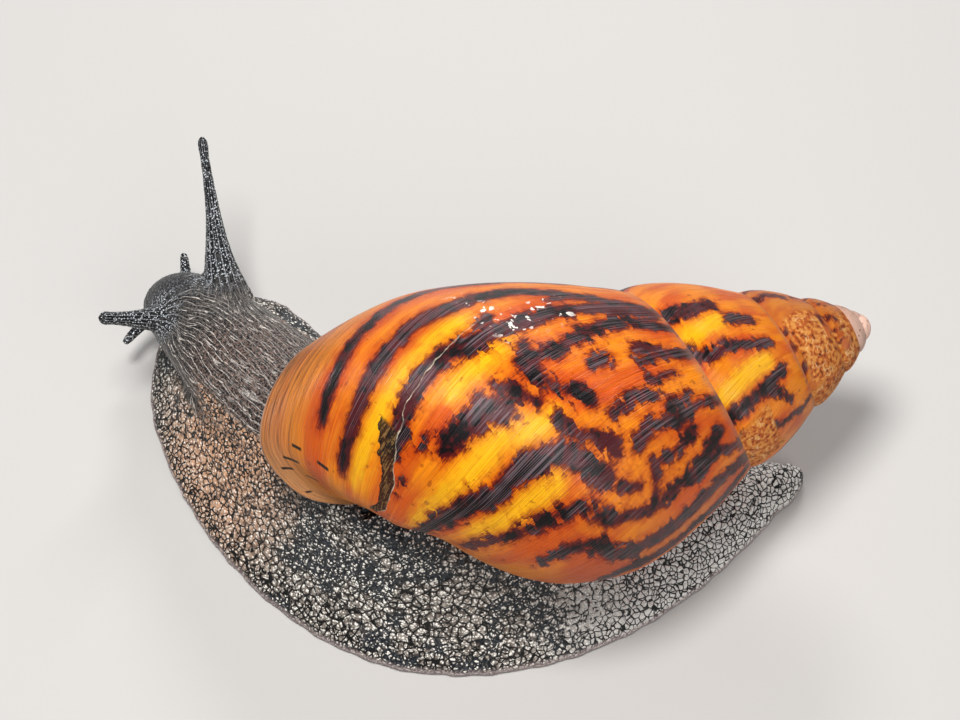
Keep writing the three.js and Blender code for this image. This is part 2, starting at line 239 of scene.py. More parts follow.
# The dark flames, each a line down the whorl: its width, and the growth and place across of its bends.
# Widths and growth are in degrees before the lip.
FLAMES = [
    (4, [(19, .04), (16, .12), (18, .2), (14, .28), (15, .35)]),
    (3, [(9, .1), (7, .2), (8, .26)]),
    (5, [(106, .03), (103, .09), (105, .15)]),
    (5, [(134, .02), (131, .08), (133, .15)]),
    (6, [(164, .02), (158, .1), (160, .18), (155, .26)]),
    (8, [(178, .02), (174, .12), (173, .3), (168, .41), (160, .47), (152, .49)]),
    (7, [(148.5, .07), (156, .15), (156, .28)]),
    (5, [(140, .13), (143, .2), (141, .27), (150, .3), (155, .325), (151, .38), (146, .43), (140, .45),
         (134, .47), (130, .53), (126, .62), (123, .68), (122, .76)]),
    (4, [(143.5, .33), (138.5, .37)]),
    (6, [(133, .17), (130, .19), (128, .23), (131, .29)]),
    (5, [(127, .33), (120, .36), (114, .4), (108, .415)]),
    (5, [(126, .1), (126, .16)]),
    (5, [(113, .1), (113, .16)]),
    (5, [(119, .18), (116, .22), (117, .3)]),
    (5, [(108, .325), (103, .35), (98, .38), (95, .385), (90, .4), (85, .405)]),
    (8, [(132, .395), (126, .41), (120, .43), (115, .45), (112, .5), (109, .55), (110, .6), (106, .66),
         (104, .75), (103, .83)]),
    (5, [(150, .48), (147, .52), (144, .57), (143, .62)]),
    (5, [(99, .13), (99, .15)]),
    (6, [(98.5, .24), (98.5, .26)]),
    (6, [(90, .03), (86, .08), (84, .13), (84, .18), (86, .22), (87, .27), (88, .33), (86, .38),
         (81, .38)]),
    (7, [(80, .05), (75, .12), (74, .2), (73.5, .27), (72.5, .35), (71.5, .42), (69, .47), (66, .52),
         (65.5, .58), (66, .63), (70, .68), (71, .71)]),
    (4, [(98, .43), (92, .45), (86, .475)]),
    (8, [(93, .49), (88, .53), (87, .6), (85, .63)]),
    (3, [(79, .655), (79, .665)]),
    (3, [(81, .755), (81, .765)]),
    (6, [(78, .03), (72, .08), (66, .15), (60, .22), (55, .29), (53, .36), (53, .42), (50, .47),
         (48.5, .53), (48.5, .6), (49.5, .66), (52, .74), (53, .8)]),
    (3, [(65, .22), (65, .24)]),
    (3, [(65, .39), (65, .41)]),
    (5, [(47, .03), (43, .1), (44, .17), (38, .24), (39, .31), (34, .38), (33, .44), (32, .47), (31, .53),
         (32, .6), (34, .66), (36, .72), (37, .76)]),
    (8, [(492, .13), (494, .22), (493, .38), (491, .46), (489, .5)]),
    (6, [(514, .16), (505, .2), (498, .25)]),
    (7, [(471, .13), (469, .2), (465, .27), (461, .34), (459, .42), (454, .48), (449, .51)]),
    (7, [(452, .14), (449, .2), (447, .25)]),
    (9, [(434, .28), (432, .36), (430, .43), (426, .47)]),
    (5, [(519, .3), (516, .38), (511, .45), (504, .49)]),
]

# Those of the hidden sides follow in the same habit: each wanders down the whorl and breaks off now and
# then. The stretch of the spire whose flames are listed above is passed over.
chance = random.Random(11)
start = 190
while start < 1500:
    if not 405 < start < 525:
        bend, bends = start, []
        for share in range(4, 100, 7):
            bend += chance.uniform(-7, 5.5)
            bends.append((bend, share / 100))
            if chance.random() < 0.16 and len(bends) > 1:
                FLAMES.append((chance.uniform(4, 8), bends))
                bends = []
        if len(bends) > 1:
            FLAMES.append((chance.uniform(4, 8), bends))
    start += chance.uniform(13, 21) if start < 500 else chance.uniform(20, 30)

# The widest and palest yellow ground between flames, in the same measures.
SUNNY = [
    (7, [(60, .45), (60, .8)]),
    (8, [(97, .5), (98, .8)]),
    (7, [(106, .42), (103, .5)]),
    (5, [(76, .4), (76, .55)]),
    (10, [(481, .2), (479, .48)]),
    (9, [(446, .3), (444, .48)]),
    (8, [(120, .5), (117, .7)]),
]
# The bends of the healed break, down the whorl: growth and place across.
BREAK = [
    (64.5, .4), (65, .48), (65, .55), (66, .6), (66, .64), (69.5, .67), (70, .7), (73, .717), (75, .747),
    (79, .77), (80, .83), (76, .845),
]
ACROSS = 153  # the whorl's width at the lip, in degrees of growth


def distance_to(strokes, places):
    # How far each place lies outside the nearest stroke, in degrees of growth.
    nearest = np.full(len(places), 40.0)
    for width, bends in strokes:
        bends = np.array(bends, float) * (1, ACROSS)
        for a, b in zip(bends, bends[1:]):
            along = b - a
            t = np.clip((places - a) @ along / (along @ along), 0, 1)[:, None]
            nearest = np.minimum(nearest, np.linalg.norm(places - a - t * along, axis=1) - width / 2)
    return nearest


def mesh_of(name, form):
    # The mesh of a finished bmesh, which is then let go.
    mesh = bpy.data.meshes.new(name)
    form.to_mesh(mesh)
    form.free()
    return mesh


def placed(name, mesh, smooth=True):
    # The object of a finished mesh, smooth to the eye, in the scene.
    mesh.polygons.foreach_set("use_smooth", [smooth] * len(mesh.polygons))
    piece = bpy.data.objects.new(name, mesh)
    scene.collection.objects.link(piece)
    return piece


def mark(mesh, marks):
    # Keeps a number, or a place of three numbers, for each point of a mesh.
    for name, values in marks.items():
        kind, field = ("FLOAT", "value") if values.ndim == 1 else ("FLOAT_VECTOR", "vector")
        mesh.attributes.new(name, kind, "POINT").data.foreach_set(field, values.astype(np.float32).ravel())


shell_mesh = mesh_of("shell_coiled", shell)
shell_piece = placed("shell_coiled", shell_mesh)
ages, fractions = np.zeros((2, len(shell_mesh.vertices)), np.float32)
shell_mesh.attributes["growth"].data.foreach_get("value", ages)
shell_mesh.attributes["across"].data.foreach_get("value", fractions)
places = np.stack([ages, fractions * ACROSS], 1)
break_growth, break_across = np.array(BREAK).T
mark(shell_mesh, {
    "streak": np.clip(distance_to(FLAMES, places), -5, 14),
    "sunny": np.clip(distance_to(SUNNY, places), -5, 14),
    "broken": np.clip(ages - np.interp(fractions, break_across, break_growth), -12, 12),
})


class Value:
    # One socket of a material or of a geometry group; arithmetic on it adds Math nodes.
    def __init__(self, tree, socket=None):
        self.tree, self.socket = tree, socket

    def node(self, kind, settings=None, sockets=None, out=0):
        made = self.tree.nodes.new(kind)
        for name, value in (settings or {}).items():
            setattr(made, name, value)
        for name, value in (sockets or {}).items():
            if isinstance(value, Value):
                self.tree.links.new(value.socket, made.inputs[name])
            else:
                made.inputs[name].default_value = value
        return Value(self.tree, made.outputs[out] if made.outputs else None)

    def maths(self, operation, *terms):
        return self.node("ShaderNodeMath", {"operation": operation}, dict(enumerate(terms)))

    def __add__(self, other):
        return self.maths("ADD", self, other)

    def __sub__(self, other):
        return self.maths("SUBTRACT", self, other)

    def __rsub__(self, other):
        return self.maths("SUBTRACT", other, self)

    def __mul__(self, other):
        return self.maths("MULTIPLY", self, other)

    def __truediv__(self, other):
        return self.maths("DIVIDE", self, other)

    def __abs__(self):
        return self.maths("ABSOLUTE", self)

    def fraction(self):
        return self.maths("FRACT", self)

    def part(self, axis):
        return self.node("ShaderNodeSeparateXYZ", {}, {"Vector": self}, out=axis)

    __radd__, __rmul__ = __add__, __mul__


def most(first, *others):
    # The largest of several values.
    for other in others:
        first = first.maths("MAXIMUM", first, other)
    return first


def rise(value, low, high):
    # 0 below low, 1 above high, smooth between; low may be the larger, which turns it over.
    limits = {"Value": value, "From Min": low, "From Max": high}
    return value.node("ShaderNodeMapRange", {"interpolation_type": "SMOOTHSTEP"}, limits)


def grain(where, scale, detail=2.0, stretch=(1, 1, 1), out=0):
    # Cloudy noise from 0 to 1 about a half, finer where scale is larger, drawn out by stretch.
    drawn = where.node("ShaderNodeVectorMath", {"operation": "MULTIPLY"}, {0: where, 1: stretch})
    return where.node("ShaderNodeTexNoise", {}, {"Vector": drawn, "Scale": scale, "Detail": detail}, out=out)


def colour(code):
    # A colour from its six-figure code, as light.
    channels = [int(code[i : i + 2], 16) / 255 for i in (0, 2, 4)]
    return tuple(c / 12.92 if c < 0.04045 else ((c + 0.055) / 1.055) ** 2.4 for c in channels) + (1,)


def over(under, cover, how_much):
    # One colour laid over another; each is a value or a six-figure code.
    under, cover = (colour(paint) if isinstance(paint, str) else paint for paint in (under, cover))
    return how_much.node("ShaderNodeMix", {"data_type": "RGBA"}, {0: how_much, 6: under, 7: cover}, out=2)


def layered(under, *coats):
    # A colour with coats laid over it in turn: what each is, and how much of it shows.
    for cover, how_much in coats:
        under = over(under, cover, how_much)
    return under


def new_material(name):
    # A fresh material, its tree's first value to build from, and its shader.
    material = bpy.data.materials.new(name)
    material.use_nodes = True
    return material, Value(material.node_tree), material.node_tree.nodes["Principled BSDF"]


def finish(shader, constants, varying):
    # Sets a shader's constant sockets and links its varying ones.
    for name, value in constants.items():
        shader.inputs[name].default_value = value
    for name, value in varying.items():
        value.tree.links.new(value.socket, shader.inputs[name])


def bumped(paint, strength, distance, height):
    # The bump of a surface, from its height.
    return paint.node("ShaderNodeBump", {}, {"Strength": strength, "Distance": distance, "Height": height})


glaze, paint, shader = new_material("shell_horn")
age, place, streak, sunny, broken = (
    paint.node("ShaderNodeAttribute", {"attribute_name": name}, out="Fac")
    for name in ("growth", "across", "streak", "sunny", "broken")
)
laid = paint.node("ShaderNodeCombineXYZ", {}, {"X": age, "Y": place * ACROSS})
solid_place = paint.node("ShaderNodeTexCoord", out="Object")

# Growth lines run across the whorl, so noise along them is long and noise between them is short. The
# flames' edges step sideways from one growth line to the next, in blocks whose own edges are shaken.
lines = grain(laid, 1.0, 3.0, (1.15, 0.012, 1))
fine_lines = grain(laid, 1.0, 2.0, (3.0, 0.02, 1))
crowded = grain(laid, 1.0, 3.0, (0.42, 0.02, 1))
broad = grain(laid, 1.0, 2.0, (0.07, 0.03, 1))
ragged = grain(laid, 1.0, 2.0, (0.3, 0.26, 1))
nicked = grain(laid, 1.0, 1.0, (2.2, 0.3, 1))
frayed = grain(laid, 1.0, 2.0, (0.9, 0.8, 1))
shake = grain(laid, 0.4, 2.0, out="Color")
shaken = laid.node("ShaderNodeVectorMath", {"operation": "MULTIPLY_ADD"}, {0: shake, 1: (5, 3.5, 0), 2: laid})
blocks = laid.node("ShaderNodeVectorMath", {"operation": "MULTIPLY"}, {0: shaken, 1: (0.17, 0.34, 1)})
block = laid.node(
    "ShaderNodeTexVoronoi", {"feature": "F1", "distance": "CHEBYCHEV"},
    {"Vector": blocks, "Scale": 1.0, "Randomness": 0.8}, out="Color",
).part("X")
stepped = (block - 0.5) * 3.2 + (nicked - 0.5) * 1.8 + (frayed - 0.5) * 1.8
edge = 0.4 + streak + (ragged - 0.5) * 3 + stepped * (0.35 + 0.65 * rise(age, 52, 80))
dark = rise(edge, 0.25, -0.25)
core = rise(edge + (ragged - 0.5) * 5, -0.5, -1.7)
margin = rise(edge + (nicked - 0.5) * 2, 1.9, 0.2)
halo = rise(edge + (ragged - 0.5) * 4, 5.2, 0.6)
spire = rise(age, 520, 660)
tip = rise(age, 1250, 1600)
near_lip = rise(age, 40, 6)
thin_lines = rise(abs(lines - 0.5), 0.03, 0.0)
thin_bright = rise(abs(fine_lines - 0.47), 0.03, 0.0)
crowded_lines = rise(abs(crowded - 0.5), 0.06, 0)

# The yellow and orange ground, redder by the growth lines and dull brown by the lip and on the spire.
ground = layered(
    over("cf5204", "ea8406", rise(broad, 0.36, 0.6)),
    ("f6b40c", rise(sunny + (ragged - 0.5) * 8, 5, -3) * 0.9),
    ("b43a04", rise(age, 110, 170) * rise(age, 420, 380) * 0.18),
    ("9a3606", rise(lines, 0.54, 0.7) * 0.35),
    ("6f2606", thin_lines * 0.3),
    ("ffc04a", thin_bright * 0.2),
    ("7c2408", rise(grain(solid_place, 430, 1.0), 0.69, 0.76) * 0.5),
    ("bf763a", near_lip * (0.35 + 0.65 * rise(place, 0.3, 0.8)) * 0.8),
    ("4a1e0c", crowded_lines * near_lip * 0.8),
    ("dc9c62", rise(age, 34, 6) * rise(place, 0.78, 0.92) * 0.6),
    ("4c2008", thin_lines * near_lip * 0.7),
    ("e2ac7c", thin_bright * rise(age, 22, 3) * 0.5),
    ("a86a34", spire * 0.45),
    ("ad3206", halo * 0.6),
    ("5c0f08", margin * 0.92),
)
# The flames, nearly black in the middle, with a pale hatching of painted sheen along the growth lines.
painted_sheen_hatch = rise(fine_lines, 0.5, 0.6) * rise(grain(laid, 1.0, 1.0, (0.05, 0.07, 1)), 0.4, 0.56)
flame_colour = layered(
    over("420c0e", "0e0809", core),
    ("4c1218", rise(broad + (ragged - 0.5) * 0.8, 0.48, 0.6) * 0.85),
    ("9a848a", painted_sheen_hatch * 0.38),
)
marked = layered(
    over(ground, flame_colour, dark * (1 - 0.4 * spire)),
    ("a07c70", rise(place + (ragged - 0.5) * 0.03, 0.05, 0.004) * 0.6),  # along the suture
    ("2a1410", rise(place, 0.0055, 0.002) * 0.9),  # the suture itself
)
# Short dark dashes by the lip, drawn along the whorl: middle and half length in degrees of growth, and the
# place across.
DASHES = [(42, 4, 0.832), (25.5, 3.5, 0.83), (19, 6, 0.866), (27, 5, 0.905), (11, 5, 0.895), (8, 3, 0.965)]
for middle, half, level in DASHES:
    dash = rise(abs(age - middle), half, half - 1) * rise(abs(place - level), 0.0042, 0.0022)
    marked = over(marked, "1d0e08", dash)

# Worn places on the spire, where the horn has flaked off the lime in crumbs and curls, and the pale tip.
patches = grain(solid_place, 62, 3.0)
outlined = place + (patches - 0.5) * 0.2
worn = rise(patches, 0.53, 0.56) * rise(age, 640, 760) * rise(place, 0.62, 0.5)
scar = rise(age, 500, 506) * rise(age, 548, 542) * rise(outlined, 0.29, 0.31) * rise(outlined, 0.66, 0.6)
flaked = rise(age + (patches - 0.5) * 30, 800, 804) * rise(age, 872, 864)
flaked = flaked * rise(outlined, 0.07, 0.1) * rise(outlined, 0.47, 0.43)
worn = most(worn, scar, flaked)
scuffed = grain(solid_place, 760, 2.0)
curls = rise(abs(grain(solid_place, 520, 1.0) - 0.5), 0.05, 0.01)
crumbs = layered(
    over("b9561a", "dd9444", rise(scuffed, 0.42, 0.62)),
    ("efc688", curls * rise(grain(solid_place, 260, 1.0), 0.48, 0.58) * 0.7),
    ("4a1c0c", rise(scuffed, 0.385, 0.33) * 0.85),
)
bare_tip = over("dcb5a2", "8a4a3c", rise(grain(solid_place, 900, 1.0), 0.68, 0.73))

# A healed break: a pale crooked line, with the bare wall left behind it lower down, in a dark outline.
crooked = broken + (grain(laid, 1.0, 2.0, (0.5, 0.35, 1)) - 0.5) * 2.0
line = rise(abs(crooked), 0.36, 0.08) * rise(place, 0.4, 0.44) * rise(place, 0.85, 0.845)
left_of_it = broken + (grain(laid, 1.0, 3.0, (0.4, 0.34, 1)) - 0.5) * 8 + rise(place, 0.84, 0.7) * 3.2
behind = rise(left_of_it, -5.6, -5.1) * rise(crooked, 0.25, -0.15)
behind = behind * rise(place, 0.68, 0.69) * rise(place, 0.862, 0.85)
peeled = grain(laid, 1.0, 3.0, (1.5, 0.22, 1)) + (grain(solid_place, 1400, 2.0) - 0.5) * 0.5
broken_up = rise(grain(laid, 1.0, 2.0, (0.3, 0.3, 1)), 0.4, 0.56)
# Painted highlights: small white glints on the upper back of the body whorl.
painted_glints = rise(grain(solid_place, 430, 2.0), 0.62, 0.65) * rise(grain(solid_place, 60, 1.0), 0.5, 0.56)
painted_glints = painted_glints * rise(place, 0.44, 0.4) * rise(place, 0.2, 0.24) * rise(age, 82, 74) * rise(age, 40, 46)
marked = layered(
    marked,
    (crumbs, worn * 0.92),
    (bare_tip, tip),
    (over("140d08", "7a5c34", rise(peeled, 0.46, 0.66)), behind * 0.95),
    ("0c0705", behind * rise(left_of_it, -4.2, -5.0) * 0.9),
    ("d8c3ac", line * (0.3 + 0.6 * broken_up) * (0.55 + 0.45 * rise(place, 0.5, 0.62))),
    ("f1e9df", painted_glints * 0.9),  # painted highlights: small white glints on the back
    ("d3a892", rise(abs(age), 1.2, 0.4) * 0.85),  # the lip's own edge
    ("a08c86", rise(age, 0, -2)),  # inside the mouth
)

ridges = lines * 0.7 + fine_lines * 1.5 + crowded * near_lip * 1.5
ridges = ridges - worn * (1 + scuffed * 1.5) + line * 1.0 - behind * (0.8 + scuffed)
rough = 0.24 + fine_lines * 0.1 + worn * 0.35 + rise(place, 0.05, 0) * 0.15 + behind * 0.3
finish(
    shader,
    {"IOR": 1.48, "Specular IOR Level": 0.24},
    {"Base Color": marked, "Roughness": rough, "Normal": bumped(paint, 0.75, 0.0004, ridges)},
)
shell_mesh.materials.append(glaze)
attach(shell_piece, "root")
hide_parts("shell")


# ---- Body: one soft wet skin over the foot, neck, head and feelers, with no seams.
# ---- It is cast over the solid lengths of the body, which are closed up and smoothed, and then it is raised
# ---- into tubercles and ridges.
FLESH = [
    "foot_tail", "foot_middle", "foot_front", "neck", "head", "upper_tentacle_right", "upper_tentacle_left",
    "lower_tentacle_right", "lower_tentacle_left",
]
CAST = 0.00035  # how far the lengths are grown to close the cuts between them
VOXEL = 0.0007
flesh = bmesh.new()
for name in FLESH:
    flesh.from_mesh(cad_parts[name].data)
bmesh.ops.remove_doubles(flesh, verts=flesh.verts, dist=1e-5)
# A fold of the back fills the hollow beside the pillar, at the left of the shell's mouth.
fold = Matrix.Translation((-0.024, -0.041, 0.034)) @ Matrix.Diagonal((0.019, 0.0105, 0.0095, 1))
bmesh.ops.create_icosphere(flesh, subdivisions=4, radius=1, matrix=fold)
flesh.normal_update()
for vertex in flesh.verts:
    vertex.co += vertex.normal * CAST


def applied(mesh, name, kind, settings):
    # The mesh that a modifier makes of another.
    holder = bpy.data.objects.new(name, mesh)
    scene.collection.objects.link(holder)
    modifier = holder.modifiers.new(name, kind)
    for key, value in settings.items():
        setattr(modifier, key, value)
    made = bpy.data.meshes.new_from_object(holder.evaluated_get(bpy.context.evaluated_depsgraph_get()))
    made.name = name
    bpy.data.objects.remove(holder)
    bpy.data.meshes.remove(mesh)
    return made


def smoothed(form, rounds):
    # Takes bumps out of a form and keeps its size.
    for turn in range(rounds):
        for amount in (0.5, -0.5):
            bmesh.ops.smooth_vert(
                form, verts=form.verts, factor=amount, use_axis_x=True, use_axis_y=True, use_axis_z=True,
            )


def spots_of(mesh):
    # The places of a mesh's points, one to a row.
    spots = np.zeros(len(mesh.vertices) * 3, np.float32)
    mesh.vertices.foreach_get("co", spots)
    return spots.reshape(-1, 3)


skin_mesh = applied(mesh_of("cast", flesh), "body_skin", "REMESH", {"mode": "VOXEL", "voxel_size": VOXEL})
skin = bmesh.new()
skin.from_mesh(skin_mesh)
smoothed(skin, 14)
skin.normal_update()
for vertex in skin.verts:
    vertex.co -= vertex.normal * CAST
skin.to_mesh(skin_mesh)
skin.free()
rest = spots_of(skin_mesh).astype(float) * 1000  # every point's place in millimetres, before the tubercles

# Middle lines in millimetres with half widths: the foot's, seen from above, and those that the neck's
# ridges follow from the shell to each upper feeler.
FOOT_LINE = [
    (95.5, -11.8, 0, 2), (82, -17.3, 0, 9.5), (69, -24.3, 0, 15), (53, -31.3, 0, 21.5), (32, -37.3, 0, 29),
    (7, -40.3, 0, 34.5), (-20, -37.3, 0, 36.5), (-47, -16.3, 0, 36), (-67, 10.7, 0, 32), (-77, 30.7, 0, 26),
    (-82.5, 40.2, 0, 19), (-87, 48.7, 0, 3.5),
]
NECK_LINE = [
    (-34, -21.3, 38, 20), (-53, -6.3, 33.5, 19.5), (-66, 7.2, 30, 18.5), (-75, 17.7, 28, 16.5),
    (-82, 25.7, 26.5, 14.5), (-91.3, 36.7, 20.5, 10.8), (-95.8, 42.1, 14.2, 3.5),
]
RIGHT_LINE = [
    (-34, -21.3, 38, 20), (-53, -6.3, 33.5, 19), (-63, 6, 30, 17), (-70, 19, 27.5, 12),
    (-76.6, 40.2, 30, 6), (-78, 47.2, 33.7, 4), (-79.3, 55.7, 38.5, 2.5), (-80.8, 64.7, 44, 1.7),
    (-82.6, 75.1, 50.2, 1.6),
]
LEFT_LINE = [
    (-34, -21.3, 38, 20), (-53, -6.3, 33.5, 19), (-66, 7.2, 30, 17), (-77, 19.7, 28.5, 12),
    (-87, 25.8, 27, 7), (-95.5, 24.7, 31, 4.1), (-99.5, 22.9, 34, 3), (-103.5, 21.1, 37.2, 2.3),
    (-109.3, 18.6, 41.8, 1.9),
]
LOWER_RIGHT_LINE = [(-89.6, 49.2, 14.5, 2.1), (-90.9, 57.6, 15.2, 1.2)]
LOWER_LEFT_LINE = [(-101.5, 33.7, 14, 2.1), (-107, 26.9, 13.3, 1.2)]
ROUND = 16  # the radius that a limb is unrolled at, mm


def along_line(line, points, softness):
    # Each point's place along a line, its distance from it, the line's half width there, and the way out to
    # it and along it. Where two stretches of the line are about as near, they share the point.
    line = np.array(line, float)
    spans = np.linalg.norm(np.diff(line[:, :3], axis=0), axis=1)
    starts = np.concatenate([[0], np.cumsum(spans)])
    found = []
    for start, span, a, b in zip(starts, spans, line, line[1:]):
        along = b[:3] - a[:3]
        t = np.clip((points - a[:3]) @ along / (along @ along), 0, 1)
        out = points - a[:3] - t[:, None] * along
        away = np.linalg.norm(out, axis=1)
        found.append((away, start + t * span, a[3] + t * (b[3] - a[3]), out, along / span))
    away = np.array([stretch[0] for stretch in found])
    weight = np.exp(-(away**2 - away.min(0) ** 2) / (2 * softness**2))
    weight /= weight.sum(0)
    place, half = (sum(w * stretch[part] for w, stretch in zip(weight, found)) for part in (1, 2))
    out, way = (sum(w[:, None] * stretch[part] for w, stretch in zip(weight, found)) for part in (3, 4))
    return place, away.min(0), half, out, way


def share_out(line, points, softness):
    # How far from a line each point lies, as a share of the line's half width there.
    away, half = along_line(line, points, softness)[1:3]
    return away / half


def around_line(line, points):
    # Coordinates that follow a limb: millimetres along it, and the way round it when it is unrolled.
    place, away, half, out, way = along_line(line, points, 5)
    way /= np.linalg.norm(way, axis=1, keepdims=True)
    above = np.array([0, 0, 1.0]) - way[:, 2:3] * way
    above /= np.linalg.norm(above, axis=1, keepdims=True)
    aside = np.cross(way, above)
    turn = np.arctan2((out * aside).sum(1), (out * above).sum(1))
    return np.column_stack([place, turn * ROUND, 0 * turn]), place, away / half


def softened(line, count):
    # The same middle line with its corners rounded off.
    line = np.array(line, float)
    run = np.concatenate([[0], np.cumsum(np.linalg.norm(np.diff(line[:, :2], axis=0), axis=1))])
    fine = np.linspace(0, run[-1], count)
    drawn = np.stack([np.interp(fine, run, line[:, axis]) for axis in range(4)], 1)
    room = np.minimum(fine, run[-1] - fine)
    reach = np.maximum(11 * np.minimum(room / 20, 1), 0.5)[:, None]
    spread = np.exp(-(((fine[:, None] - fine) / reach) ** 2) / 2)
    return (spread / spread.sum(1, keepdims=True)) @ drawn


foot_share = share_out(softened(FOOT_LINE, 44), rest * (1, 1, 0), 8)
neck_share = share_out(NECK_LINE, rest, 5)
right_flow, right_place, right_share = around_line(RIGHT_LINE, rest)
left_flow, left_place, left_share = around_line(LEFT_LINE, rest)
off_lower = np.minimum(*[along_line(line, rest, 3)[1] for line in (LOWER_RIGHT_LINE, LOWER_LEFT_LINE)])
forward, height = rest[:, 0], rest[:, 2]  # these follow the points as they are moved
turned_left = ease(-0.22, 0.22, right_share - left_share)
feeler = np.maximum.reduce([
    ease(66, 80, right_place) * ease(2.2, 1.5, right_share),
    ease(72, 82, left_place) * ease(2.2, 1.5, left_share),
    ease(4, 2.4, off_lower),
])
snout = ease(-82, -91, forward)
necky = ease(1.42, 1.12, neck_share) * ease(13 - snout * 3, 22 - snout * 9, height) * ease(-22, -38, forward)
turned = np.abs(np.where(right_share < left_share, right_flow[:, 1], left_flow[:, 1])) / ROUND
necky *= np.maximum(ease(1.35, 0.95, turned), ease(-76, -86, forward))

# The foot's edge, seen from above, is evened into one long curve with a slight waver. It is found as the
# farthest reach from a hub within the foot, on all bearings.
HUB, BEARINGS, SAMPLES = np.array([-15, -37]), 720, 400
spokes = rest[:, :2] - HUB
bearing = np.floor(np.arctan2(spokes[:, 1], spokes[:, 0]) / math.tau * BEARINGS).astype(int) % BEARINGS
reach = np.zeros(BEARINGS)
np.maximum.at(reach, bearing[height < 3], np.linalg.norm(spokes, axis=1)[height < 3])
reach = np.max([np.roll(reach, step) for step in range(-2, 3)], axis=0)
turns = (np.arange(BEARINGS) + 0.5) / BEARINGS * math.tau
edge_line = HUB + reach[:, None] * np.stack([np.cos(turns), np.sin(turns)], 1)
around = np.concatenate([edge_line, edge_line[:1]])
run_of_edge = np.concatenate([[0], np.cumsum(np.linalg.norm(np.diff(around, axis=0), axis=1))])
even_run = np.arange(SAMPLES) / SAMPLES * run_of_edge[-1]
edge_line = np.stack([np.interp(even_run, run_of_edge, around[:, axis]) for axis in (0, 1)], 1)


def evened(line, spread):
    # A closed line of samples with what is shorter than the spread, in millimetres, taken out of it.
    gap = np.minimum(even_run, run_of_edge[-1] - even_run)
    weight = np.exp(-((gap / spread) ** 2) / 2)
    spectrum = np.fft.fft(weight / weight.sum())[:, None]
    return np.fft.ifft(np.fft.fft(line, axis=0) * spectrum * (2 - spectrum), axis=0).real


finer = evened(edge_line, 1.6)
waver = 0.2 * np.sin(even_run * 0.37) * np.sin(even_run * 0.11) + 0.12 * np.sin(even_run * 0.71) - 0.25
outward = np.roll(finer, -1, axis=0) - np.roll(finer, 1, axis=0)
outward = np.stack([outward[:, 1], -outward[:, 0]], 1) / np.linalg.norm(outward, axis=1, keepdims=True)
shift = (evened(edge_line, 8) - finer) * ease(95, 82, edge_line[:, :1]) + outward * waver[:, None]
by_edge = np.flatnonzero((foot_share > 0.45) & (height < 16))
nearest = np.array([np.argmin(((finer - spot) ** 2).sum(1)) for spot in rest[by_edge, :2]])
weight = ease(0.45, 0.9, foot_share[by_edge]) * ease(16, 5, height[by_edge])
rest[by_edge, :2] += shift[nearest] * weight[:, None]
off_edge = np.full(len(rest), 99.0)
low_down = np.flatnonzero(height < 4)
off_edge[low_down] = [math.sqrt(((finer - spot) ** 2).sum(1).min()) for spot in rest[low_down, :2]]
rim = ease(3.4, 1.3, height) * ease(6, 4, off_edge)

# The mouth: a bowed slit low on the front of the head, between two soft lips.
MOUTH = np.array([-97.5, 43.3, 17.0])
SLIT_DEPTH, LIP_HEIGHT, LIP_APART = 1.8, 0.75, 2.0  # mm
facing, sideways = np.array([-0.62, 0.73, -0.3]), np.array([0.77, 0.64, 0])
rising = np.cross(sideways, facing)
from_mouth = rest - MOUTH
sidelong = from_mouth @ sideways
slit_off = from_mouth @ rising / np.linalg.norm(rising) + 0.06 * sidelong**2
by_mouth = ease(7.5, 5, np.linalg.norm(from_mouth, axis=1)) * np.exp(-((sidelong / 4) ** 4))
slit = np.exp(-((slit_off / 0.85) ** 2)) * by_mouth
lips = np.exp(-(((np.abs(slit_off) - LIP_APART) / 0.9) ** 2)) * by_mouth
rest += facing * (lips * LIP_HEIGHT - slit * SLIT_DEPTH)[:, None]
skin_mesh.vertices.foreach_set("co", (rest / 1000).astype(np.float32).ravel())

# What each spot of the skin is, from 0 to 1, its place at rest, and its place along and around either
# feeler's line.
mark(skin_mesh, {
    "slit": slit,
    "lips": lips,
    "small": np.maximum.reduce([
        ease(12, 4, height), ease(10, 50, forward), ease(1.8, 1.2, neck_share) * ease(8, 15, height) * 0.8,
    ]),
    # high on the flank under the shell, where painted shade darkens the skin
    "shaded": ease(15, 27, height) * ease(-66, -48, forward),
    "necky": np.maximum(necky, feeler),
    "feeler": feeler,
    "rim": rim,
    "low": ease(12, 3.5, height),
    "tailward": ease(5, 55, forward),
    "turned_left": turned_left,
    "peach": ease(44, 14, np.hypot(rest[:, 0] + 64, rest[:, 1] + 8)),
    # the front of the head, darkened as painted shade
    "headward": ease(-6, 5, (rest - (-84, 27, 28)) @ (-0.6, 0.72, -0.34)) * ease(15, 22, height + 4),
    "place": rest,
    "right_flow": right_flow,
    "left_flow": left_flow,
})


def cells(where, scale, feature="F1", out=0):
    # A pattern of rounded cells, finer where scale is larger.
    sockets = {"Vector": where, "Scale": scale}
    return where.node("ShaderNodeTexVoronoi", {"feature": feature}, sockets, out=out)


def tubercles(where, low, small):
    # Cushion-like tubercles two to three millimetres across, smaller by the rim and tail, each a rosette of
    # small round grains. Returns the height of the cushions, of the grains, a value for each grain, and how
    # far each spot lies from the border of a cushion.
    warp = grain(where, 0.3, 2.0, out="Color")
    warp = where.node("ShaderNodeVectorMath", {"operation": "SUBTRACT"}, {0: warp, 1: (0.5, 0.5, 0.5)})
    warp = where.node("ShaderNodeVectorMath", {"operation": "SCALE"}, {0: warp, "Scale": 1.6})
    bent = where.node("ShaderNodeVectorMath", {"operation": "ADD"}, {0: where, 1: warp})
    large = cells(bent, 0.38, "DISTANCE_TO_EDGE")
    little = cells(bent, 0.62, "DISTANCE_TO_EDGE")
    border = large * (1 - small) + little * small
    cushion = 1 - (1 - rise(border, 0.0, 0.26)) * (1 - low * 0.6)
    return cushion, rise(cells(bent, 1.15), 0.62, 0.15), cells(bent, 1.15, out="Color").part("X"), border


